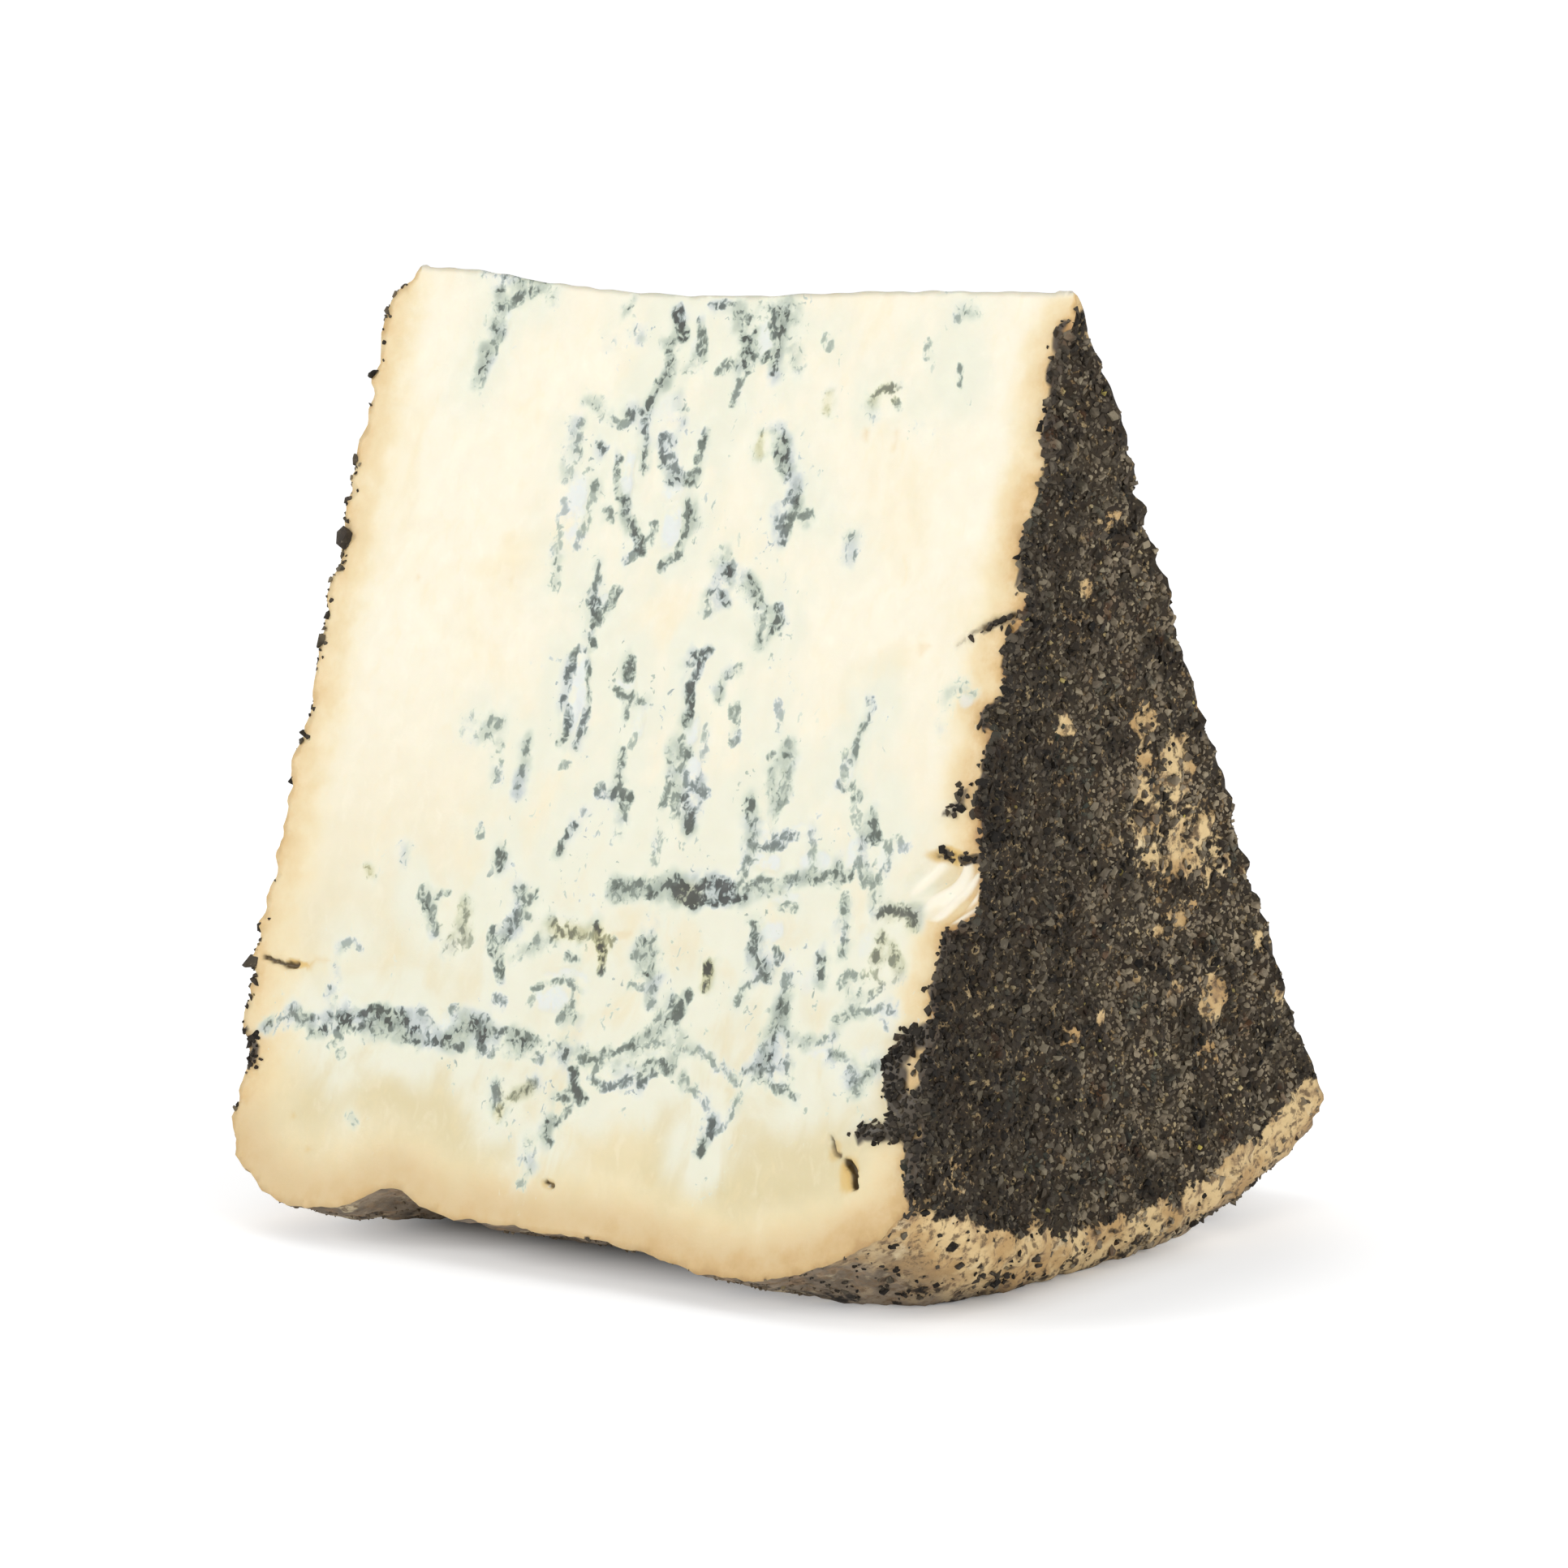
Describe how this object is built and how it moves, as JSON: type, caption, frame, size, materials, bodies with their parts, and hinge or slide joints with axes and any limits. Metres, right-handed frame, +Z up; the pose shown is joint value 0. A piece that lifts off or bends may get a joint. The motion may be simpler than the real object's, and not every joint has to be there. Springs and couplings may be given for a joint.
{
  "type": "blue cheese wedge",
  "caption": "Wedge of veined blue cheese cut from a drum-shaped wheel, with a crumb-coated rind, standing on its rim with the cut ridge up.",
  "frame": {"origin": "middle of the wedge's footprint, on the surface that it stands on", "axes": "+Z up from the rim to the cut ridge, +X along the ridge, towards the coated end that the picture shows; the veined cut face of the picture faces -Y"},
  "size_m": [0.1029, 0.0858, 0.1105],
  "materials": {
    "cheese": "cream paste with blue-green marbling, smooth and slightly moist where the knife cut it",
    "crumb_coat": "dry dark brown crumbs of one to two millimetres, with tan and yellow flecks"
  },
  "bodies": {
    "root": {"cheese_wedge": "cheese"}
  },
  "joints": []
}
